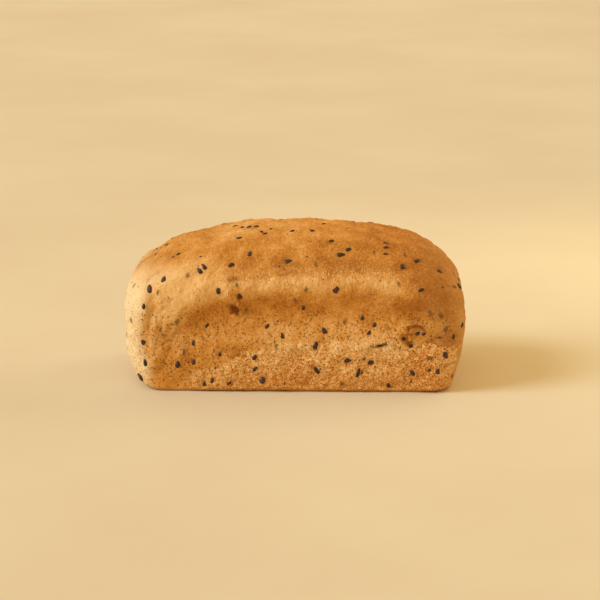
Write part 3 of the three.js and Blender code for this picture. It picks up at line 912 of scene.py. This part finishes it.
def crumbPlaces():
    made = []
    for tried in range(flake["count"] * flake["triesEach"]):
        if len(made) >= flake["count"]:
            break
        side = -1 if draw.next() < 0.5 else 1
        x = draw.between(-0.5, 0.5) * body["length"]
        z = draw.between(flake["lowest"], crumbBand["high"] + flake["above"])
        start = Vector((x, side * body["depth"], z))
        place, out = fineTree.ray_cast(start, Vector((0, -side, 0)))[:2]
        keep = draw.next()
        length = draw.between(flake["least"], flake["most"])
        turn = draw.next() * 2 * math.pi
        if place is None:
            continue
        plain = Vector((out.x, side * abs(out.y), 0)).normalized()
        if keep < crumbMask(place, plain, fine["crumbSoft"]) ** 2:
            made.append(Laid(place, out, length, turn))
    return made


flakes = crumbPlaces()
flakeShades = [draw.next() for laid in flakes]
flakeTips = [draw.between(-flake["tip"], flake["tip"]) for laid in flakes]


def oneFlake(bm, number, shadeLayer):
    laid = flakes[number]
    made = bmesh.ops.create_cone(bm, cap_ends=True, segments=3, radius1=0.5,
                                 radius2=flake["point"], depth=flake["depth"])["verts"]
    for vert in made:
        vert[shadeLayer] = flakeShades[number]
    tipped = Matrix.Rotation(flakeTips[number], 4, "X")
    scale = Vector((flake["width"], flake["thin"], 1)) * laid.length
    bmesh.ops.transform(bm, matrix=laid.matrix(scale, flake["sink"]) @ tipped, verts=made)


flakePiece = asPiece("crumbFlakes", joined(len(flakes), oneFlake))
print("flakes", len(flakes))


# Materials
class Wire:
    # A node's output that can be used in an expression
    def __init__(self, tree, socket=None):
        self.tree = tree
        self.socket = socket

    def node(self, kind, settings, values, output=0):
        # Any node: its settings first, then the values or links of its sockets
        made = self.tree.nodes.new(kind)
        for name, value in settings.items():
            if name == "stops":
                self.setStops(made.color_ramp, value)
            else:
                setattr(made, name, value)
        for name, value in values.items():
            if isinstance(value, Wire):
                self.tree.links.new(value.socket, made.inputs[name])
            else:
                made.inputs[name].default_value = value
        return Wire(self.tree, made.outputs[output])

    def setStops(self, ramp, stops):
        while len(ramp.elements) < len(stops):
            ramp.elements.new(0.5)
        for element, (place, colour) in zip(ramp.elements, stops):
            element.position = place
            element.color = (*colour, 1)

    def maths(self, operation, first, second, clamped=False):
        settings = {"operation": operation, "use_clamp": clamped}
        return self.node("ShaderNodeMath", settings, {0: first, 1: second})

    def __add__(self, other):
        return self.maths("ADD", self, other)

    __radd__ = __add__

    def __sub__(self, other):
        return self.maths("SUBTRACT", self, other)

    def __rsub__(self, other):
        return self.maths("SUBTRACT", other, self)

    def __mul__(self, other):
        return self.maths("MULTIPLY", self, other)

    __rmul__ = __mul__

    def kept(self):
        return self.maths("ADD", self, 0.0, clamped=True)

    def step(self, start, end):
        # From 0 at start to 1 at end, softly
        settings = {"interpolation_type": "SMOOTHSTEP"}
        return self.node("ShaderNodeMapRange", settings, {0: self, 1: start, 2: end, 3: 0, 4: 1})

    def blend(self, under, over):
        # Two colours mixed by this value: the Mix node takes them at its sockets 6 and 7
        colours = {0: self}
        for place, colour in ((6, under), (7, over)):
            colours[place] = colour if isinstance(colour, Wire) else (*colour, 1)
        return self.node("ShaderNodeMix", {"data_type": "RGBA"}, colours, 2)

    def stretched(self, x, y, z):
        return self.node("ShaderNodeVectorMath", {"operation": "MULTIPLY"},
                         {0: self, 1: (x, y, z)})

    def grain(self, size, detail=2.0, roughness=0.5, distortion=0.0):
        # Noise about 0.5, of a size in millimetres
        values = {"Vector": self, "Scale": 1 / size, "Detail": detail,
                  "Roughness": roughness, "Distortion": distortion}
        return self.node("ShaderNodeTexNoise", {}, values)

    def cells(self, size):
        # The distance to the nearest of points about this far apart, in millimetres
        return self.node("ShaderNodeTexVoronoi", {}, {"Vector": self, "Scale": 1 / size})

    def ramp(self, *stops):
        return self.node("ShaderNodeValToRGB", {"stops": stops}, {0: self})

    def part(self, axis):
        return self.node("ShaderNodeSeparateXYZ", {}, {0: self}, axis)

    def bump(self, distance, strength=1.0):
        values = {"Strength": strength, "Distance": distance, "Height": self}
        return self.node("ShaderNodeBump", {}, values)


def newMaterial(name):
    # A material with one shader, and the object's own place in millimetres
    material = bpy.data.materials.new(name)
    material.use_nodes = True
    tree = material.node_tree
    shader = tree.nodes["Principled BSDF"]
    wire = Wire(tree)
    objectPlace = wire.node("ShaderNodeTexCoord", {}, {}, 3)
    at = objectPlace.stretched(1 / mm, 1 / mm, 1 / mm)
    return material, shader, wire, at


def mark(wire, name):
    return wire.node("ShaderNodeAttribute", {"attribute_name": name}, {}, 2)


def link(value, socket):
    value.tree.links.new(value.socket, socket)


crustLook = {
    # The cream colour is pale skin, partly painted light on the lit left end
    "cream": (0.98, 0.79, 0.49), "pale": (0.90, 0.56, 0.22), "skin": (0.70, 0.325, 0.062),
    "deep": (0.43, 0.150, 0.012), "tornPale": (1.0, 0.69, 0.33), "torn": (0.98, 0.51, 0.135),
    # The pore colour is painted shade, used in the pores and the cuts
    "tornDeep": (0.62, 0.20, 0.030), "stain": (0.50, 0.18, 0.022), "pore": (0.25, 0.08, 0.012),
    "film": (0.15, 0.085, 0.035), "seed": (0.035, 0.018, 0.014), "foot": (0.74, 0.33, 0.045),
    # The greyer brown for the right end is partly painted shade
    "footTop": 17.0, "rightShade": (0.43, 0.21, 0.06), "rightShadeFrom": 62.0, "rightShadeTo": 92.0,
    "roughness": 0.78, "tornRougher": 0.15, "shine": 0.28,
}
# Each noise of the crust: its size in millimetres, detail, roughness and distortion
crustGrain = {
    "blotch": (9, 3), "fleck": (1.5, 3, 0.65), "fuzz": (0.8, 2, 0.7), "strand": (0.8, 2, 0.6),
    "stain": (4.2, 3, 0.6), "poreShown": (3.1, 1), "ridge": (1.6, 2, 0.6, 0.8),
    "grit": (0.9, 2, 0.7), "tornEdge": (3.6, 3, 0.75), "film": (2.2, 2),
}
# Points spread over the crust, this far apart, and the seeds that lie flush in the underside
crustCells = {"pore": 1.7, "pit": 1.9, "flush": 13.0, "flushWidth": 0.62}
# Where each mask starts and where it is full
crustStep = {
    "strand": (0.47, 0.68), "stain": (0.60, 0.72), "pore": (0.12, 0.38), "poreShown": (0.34, 0.56),
    "ridge": (0.50, 0.36), "pit": (0.16, 0.44), "torn": (0.40, 0.62), "under": (0.01, 0.06),
    "flush": (0.09, 0.13),
}
# How much each mask of the colour counts
maskShare = {
    "fleck": 1.15, "fuzz": 0.6, "strand": 0.85, "cream": 0.8, "creamFleck": 1.6, "stain": 0.55,
    "rightShade": 0.45, "pore": 0.62, "foot": 0.42, "film": 0.45, "filmGrain": 0.75, "cut": 0.85,
}
# Light and dark of the torn crumb, about its plain level: pale walls with painted light on the
# ridges and painted shade in the pits
crumbTone = {"plain": 0.59, "ridge": 0.9, "ridgeAt": 0.35, "pit": 0.85, "grit": 2.1,
             "bakeAndShadeAt": 0.46, "torn": 0.45, "edge": 1.9, "within": 8.0}
# Bumps, in millimetres
bumps = {"fuzz": 0.35, "smoother": 0.5, "strand": 0.45, "ridge": 0.32, "pit": 0.36, "grit": 0.34,
         "pore": 0.8, "strandStretch": 0.16}


def crustSkin(wire, at, noises, torn, lipHere):
    # From pale to deep by how it baked and by painted shade, with blotches, drawn strands, cream
    # that is partly painted light, stains, and a greyer brown towards the right end that is partly
    # painted shade
    bakedAndShaded = mark(wire, "bake") + noises["blotch"] + noises["fleck"] * maskShare["fleck"]
    bakedAndShaded = (bakedAndShaded + noises["fuzz"] * maskShare["fuzz"]).kept()
    skin = bakedAndShaded.ramp((0.0, crustLook["pale"]), (0.5, crustLook["skin"]), (1.0, crustLook["deep"]))
    strands = noises["strand"].step(*crustStep["strand"])
    skin = (strands * lipHere * maskShare["strand"]).blend(skin, crustLook["tornPale"])
    # Cream on the left end: pale skin, partly painted light
    creamShare = maskShare["cream"] + noises["fleck"] * maskShare["creamFleck"] + noises["blotch"]
    skin = (mark(wire, "cream") * creamShare).kept().blend(skin, crustLook["cream"])
    stains = at.grain(*crustGrain["stain"]).step(*crustStep["stain"])
    skin = (stains * (1 - torn) * maskShare["stain"]).blend(skin, crustLook["stain"])
    # Greyer, darker brown towards the right end: partly painted shade where that end turns from the
    # light
    rightShade = at.part(0).step(crustLook["rightShadeFrom"], crustLook["rightShadeTo"])
    return (rightShade * maskShare["rightShade"]).blend(skin, crustLook["rightShade"])


def crustMaterial():
    material, shader, wire, at = newMaterial("crust")
    torn = mark(wire, "torn")
    crumbHere = mark(wire, "crumb")
    lipHere = mark(wire, "lip")
    names = ("blotch", "fleck", "fuzz", "grit")
    noises = {name: at.grain(*crustGrain[name]) - 0.5 for name in names}
    noises["strand"] = at.stretched(1, 1, bumps["strandStretch"]).grain(*crustGrain["strand"])
    skin = crustSkin(wire, at, noises, torn, lipHere)

    # Pin-prick pores, painted dark as the shade in them
    poreSpot = 1 - at.cells(crustCells["pore"]).step(*crustStep["pore"])
    poreShown = at.grain(*crustGrain["poreShown"]).step(*crustStep["poreShown"])
    poreHere = (poreSpot * poreShown * mark(wire, "pores")).kept()
    skin = (poreHere * maskShare["pore"]).blend(skin, crustLook["pore"])

    # Torn crumb: pale ridges and threads round small pits, with painted light on the ridges and
    # painted shade in the pits
    folded = at.grain(*crustGrain["ridge"])
    ridges = 1 - folded.maths("PINGPONG", folded, 0.5).step(*crustStep["ridge"])
    pits = 1 - at.cells(crustCells["pit"]).step(*crustStep["pit"])
    wall = crumbTone["plain"] + (ridges - crumbTone["ridgeAt"]) * crumbTone["ridge"]
    wall = wall - pits * crumbTone["pit"] + noises["grit"] * crumbTone["grit"]
    wall = (wall - (mark(wire, "bake") - crumbTone["bakeAndShadeAt"])).kept()
    crumb = wall.ramp((0.0, crustLook["tornDeep"]), (crumbTone["torn"], crustLook["torn"]),
                      (1.0, crustLook["tornPale"]))
    tornEdge = (at.grain(*crustGrain["tornEdge"]) - 0.5) * crumbTone["edge"]
    tornHere = (crumbHere + tornEdge).step(*crustStep["torn"])
    tornHere = (tornHere * (crumbHere * crumbTone["within"]).kept()).kept()
    colour = tornHere.blend(skin, crumb)
    height = at.part(2)
    # Deeper orange near the base: partly its tone, partly painted shade near the floor
    footHere = 1 - height.step(0.0, crustLook["footTop"])
    colour = (footHere * maskShare["foot"]).blend(colour, crustLook["foot"])

    # Seeds under a film of dough, painted shade in the cuts, and the seeds flush in the underside
    filmGrain = at.grain(*crustGrain["film"]) * maskShare["filmGrain"]
    veil = (mark(wire, "film") * (maskShare["film"] + filmGrain)).kept()
    colour = veil.blend(colour, crustLook["film"])
    # Cuts get painted shade in the pore colour
    colour = (mark(wire, "cut") * maskShare["cut"]).kept().blend(colour, crustLook["pore"])
    flush = at.stretched(1, crustCells["flushWidth"], 1).cells(crustCells["flush"])
    flush = (1 - flush.step(*crustStep["flush"])) * (1 - height.step(*crustStep["under"]))
    colour = flush.blend(colour, crustLook["seed"])
    link(colour, shader.inputs["Base Color"])

    # Fine relief
    skinRough = noises["fleck"] + noises["fuzz"] * bumps["fuzz"]
    tornRough = ridges * bumps["ridge"] - pits * bumps["pit"] + noises["grit"] * bumps["grit"]
    rough = skinRough * (1 - tornHere * bumps["smoother"])
    rough = rough + noises["strand"] * lipHere * bumps["strand"] + tornHere * tornRough
    link((rough - poreHere * bumps["pore"]).bump(mm), shader.inputs["Normal"])
    link(crustLook["roughness"] + torn * crustLook["tornRougher"], shader.inputs["Roughness"])
    shader.inputs["Specular IOR Level"].default_value = crustLook["shine"]
    return material


seedColours = {"dark": (0.014, 0.007, 0.007), "light": (0.055, 0.020, 0.014),
               "worn": (0.15, 0.075, 0.05), "wornGrain": (1.1, 2), "wornStep": (0.5, 0.75),
               "wornShare": 0.6, "roughness": 0.3, "wornRougher": 0.35, "grooveGrain": (0.5, 2),
               "grooveDepth": 0.2, "grooveStrength": 0.5}


def seedMaterial():
    material, shader, wire, at = newMaterial("seed")
    look = seedColours
    worn = at.grain(*look["wornGrain"])
    dark = mark(wire, "shade").blend(look["dark"], look["light"])
    colour = (worn.step(*look["wornStep"]) * look["wornShare"]).blend(dark, look["worn"])
    link(colour, shader.inputs["Base Color"])
    link(look["roughness"] + worn * look["wornRougher"], shader.inputs["Roughness"])
    bump = at.grain(*look["grooveGrain"]).bump(mm * look["grooveDepth"], look["grooveStrength"])
    link(bump, shader.inputs["Normal"])
    return material


speckColours = {"stops": [(0.0, (0.10, 0.03, 0.015)), (0.55, (0.24, 0.075, 0.02)),
                          (0.8, (0.33, 0.13, 0.04)), (1.0, (0.05, 0.02, 0.015))],
                "worn": (0.16, 0.05, 0.02), "wornGrain": (0.6, 1), "wornShare": 0.5,
                "roughness": 0.55}


def speckMaterial():
    material, shader, wire, at = newMaterial("speck")
    look = speckColours
    colour = mark(wire, "shade").ramp(*look["stops"])
    worn = at.grain(*look["wornGrain"]) * look["wornShare"]
    link(worn.blend(colour, look["worn"]), shader.inputs["Base Color"])
    shader.inputs["Roughness"].default_value = look["roughness"]
    return material


flakeColours = {"byShade": 0.8, "byGrain": 0.5, "grain": (0.8, 2), "darker": 0.15,
                "roughness": 0.85}


def flakeMaterial():
    material, shader, wire, at = newMaterial("flake")
    look = flakeColours
    tint = mark(wire, "shade") * look["byShade"] + at.grain(*look["grain"]) * look["byGrain"]
    tint = (tint - look["darker"]).kept()
    link(tint.blend(crustLook["torn"], crustLook["tornPale"]), shader.inputs["Base Color"])
    shader.inputs["Roughness"].default_value = look["roughness"]
    return material


floorLook = {"dark": (0.735, 0.67, 0.515), "light": (0.78, 0.725, 0.57), "grain": (260, 4, 0.55),
             "step": (0.3, 0.7), "roughness": 0.8, "shine": 0.2}


def floorMaterial():
    material, shader, wire, at = newMaterial("floor")
    cloud = at.grain(*floorLook["grain"]).step(*floorLook["step"])
    link(cloud.blend(floorLook["dark"], floorLook["light"]), shader.inputs["Base Color"])
    shader.inputs["Roughness"].default_value = floorLook["roughness"]
    shader.inputs["Specular IOR Level"].default_value = floorLook["shine"]
    return material


crust.data.materials.append(crustMaterial())
seedPiece.data.materials.append(seedMaterial())
speckPiece.data.materials.append(speckMaterial())
flakePiece.data.materials.append(flakeMaterial())
print("materials ready")

# Floor, light and camera
studio = {
    "floorHalf": 12.0, "fill": (1.0, 0.67, 0.30), "fillStrength": 0.76,
    "glowPlace": (0.34, 0.30, 0.28), "glowAt": (0.20, 0.0, 0.0), "glowSize": 0.4,
    "glowPower": 0.42, "glowColour": (1.0, 0.76, 0.40),
}
# Soft suns: the way each shines from, its strength, its spread in degrees and its colour
suns = {
    "key": [(-0.788, -0.256, 0.559), 1.82, 28.0, (0.80, 0.92, 1.0)],
    "rim": [(0.85, 0.45, 0.35), 0.32, 40.0, (1.0, 0.80, 0.45)],
}
# The focal length was measured in pixels of a picture 600 pixels wide
shot = {"azimuth": 1.2, "elevation": 14.0, "distance": 1.3, "target": (0.0029, 0.0, 0.0440),
        "focalPixels": 2158, "pixelsWide": 600, "sensor": 36.0, "farthest": 60.0}


def makeFloor():
    bm = bmesh.new()
    bmesh.ops.create_grid(bm, x_segments=1, y_segments=1, size=studio["floorHalf"])
    mesh = bpy.data.meshes.new("floor")
    bm.to_mesh(mesh)
    bm.free()
    floor = bpy.data.objects.new("floor", mesh)
    bpy.context.scene.collection.objects.link(floor)
    mesh.materials.append(floorMaterial())


def makeSun(name, way, strength, spread, colour):
    light = bpy.data.lights.new(name, "SUN")
    light.energy = strength
    light.angle = math.radians(spread)
    light.color = colour
    lamp = bpy.data.objects.new(name, light)
    lamp.rotation_euler = Vector(way).to_track_quat("Z", "Y").to_euler()
    bpy.context.scene.collection.objects.link(lamp)


def makeGlow():
    # A small warm light that opens up the loaf's shadow on the floor
    light = bpy.data.lights.new("glow", "AREA")
    light.shape = "DISK"
    light.size = studio["glowSize"]
    light.energy = studio["glowPower"]
    light.color = studio["glowColour"]
    lamp = bpy.data.objects.new("glow", light)
    place = Vector(studio["glowPlace"])
    lamp.location = place
    lamp.rotation_euler = (place - Vector(studio["glowAt"])).to_track_quat("Z", "Y").to_euler()
    bpy.context.scene.collection.objects.link(lamp)


def makeFill():
    world = bpy.data.worlds.new("fill")
    world.use_nodes = True
    background = world.node_tree.nodes["Background"]
    background.inputs["Color"].default_value = (*studio["fill"], 1)
    background.inputs["Strength"].default_value = studio["fillStrength"]
    bpy.context.scene.world = world


def makeCamera():
    azimuth = math.radians(shot["azimuth"])
    elevation = math.radians(shot["elevation"])
    back = Vector((math.sin(azimuth) * math.cos(elevation),
                   -math.cos(azimuth) * math.cos(elevation), math.sin(elevation)))
    lens = bpy.data.cameras.new("camera")
    lens.sensor_width = shot["sensor"]
    lens.lens = shot["focalPixels"] / shot["pixelsWide"] * shot["sensor"]
    lens.clip_end = shot["farthest"]
    camera = bpy.data.objects.new("camera", lens)
    camera.location = Vector(shot["target"]) + back * shot["distance"]
    camera.rotation_euler = back.to_track_quat("Z", "Y").to_euler()
    bpy.context.scene.collection.objects.link(camera)
    bpy.context.scene.camera = camera


makeFloor()
for name, sun in suns.items():
    makeSun(name, *sun)
makeGlow()
makeFill()
makeCamera()
bpy.context.scene.view_settings.view_transform = "Standard"
print("stage ready")
